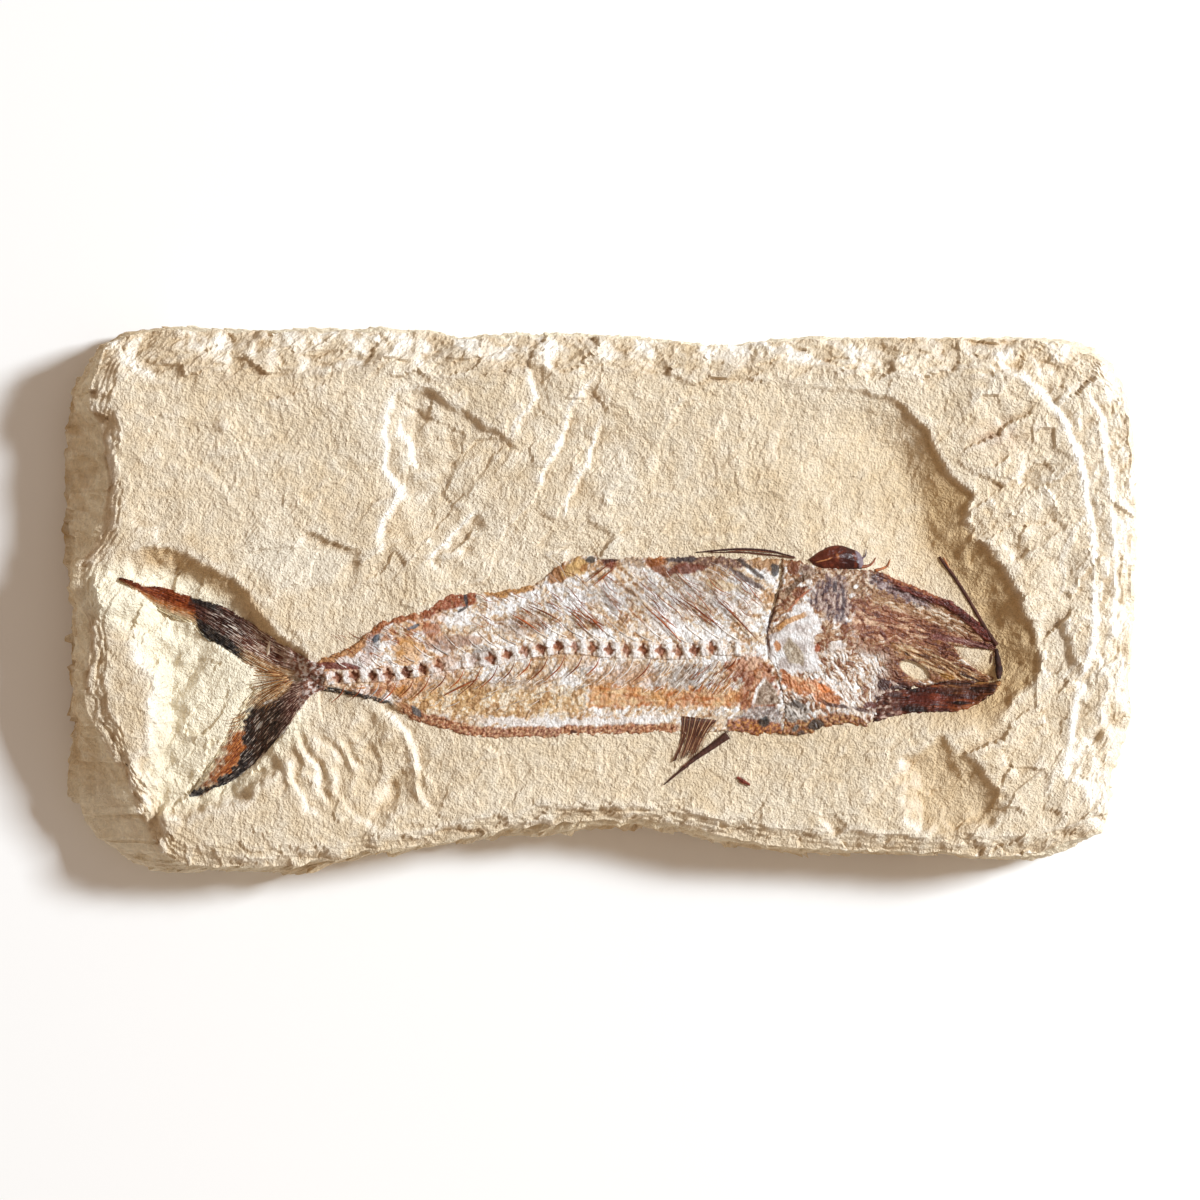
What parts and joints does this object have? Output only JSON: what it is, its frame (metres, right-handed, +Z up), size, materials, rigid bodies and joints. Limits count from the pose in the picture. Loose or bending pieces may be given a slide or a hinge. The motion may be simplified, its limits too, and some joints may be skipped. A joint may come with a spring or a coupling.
{
  "type": "fossil fish slab",
  "caption": "Rough limestone slab that lies on its flat underside, with a flattened fossil fish in low relief on the upper face.",
  "frame": {"origin": "middle of the flat underside, at the centre of the slab's outline seen from above", "axes": "+X along the slab towards the fish's snout, +Y towards the fish's back, +Z up out of the fossil face"},
  "size_m": [0.3033, 0.1545, 0.0293],
  "materials": {
    "limestone": "matte chalky limestone",
    "body_film": "satin mineral film",
    "pale_bone": "satin fossil bone",
    "skull_bone": "satin fossil bone",
    "dark_bone": "satin fossil bone",
    "glossy_bone": "glossy fossil bone",
    "tail_rays": "satin fossil fin rays",
    "fin_rays": "satin fossil fin rays"
  },
  "bodies": {
    "root": {"slab": "limestone", "trunk": "body_film", "backbone": "pale_bone", "skull": "skull_bone", "lower_jaw": "dark_bone", "nape_plate": "glossy_bone", "jaw_rod_long": "dark_bone", "jaw_rod_short": "dark_bone", "upper_tail_lobe": "tail_rays", "lower_tail_lobe": "tail_rays", "pelvic_fin": "fin_rays", "pelvic_spine": "dark_bone", "dorsal_ray": "dark_bone", "stray_splint": "dark_bone"}
  },
  "joints": []
}
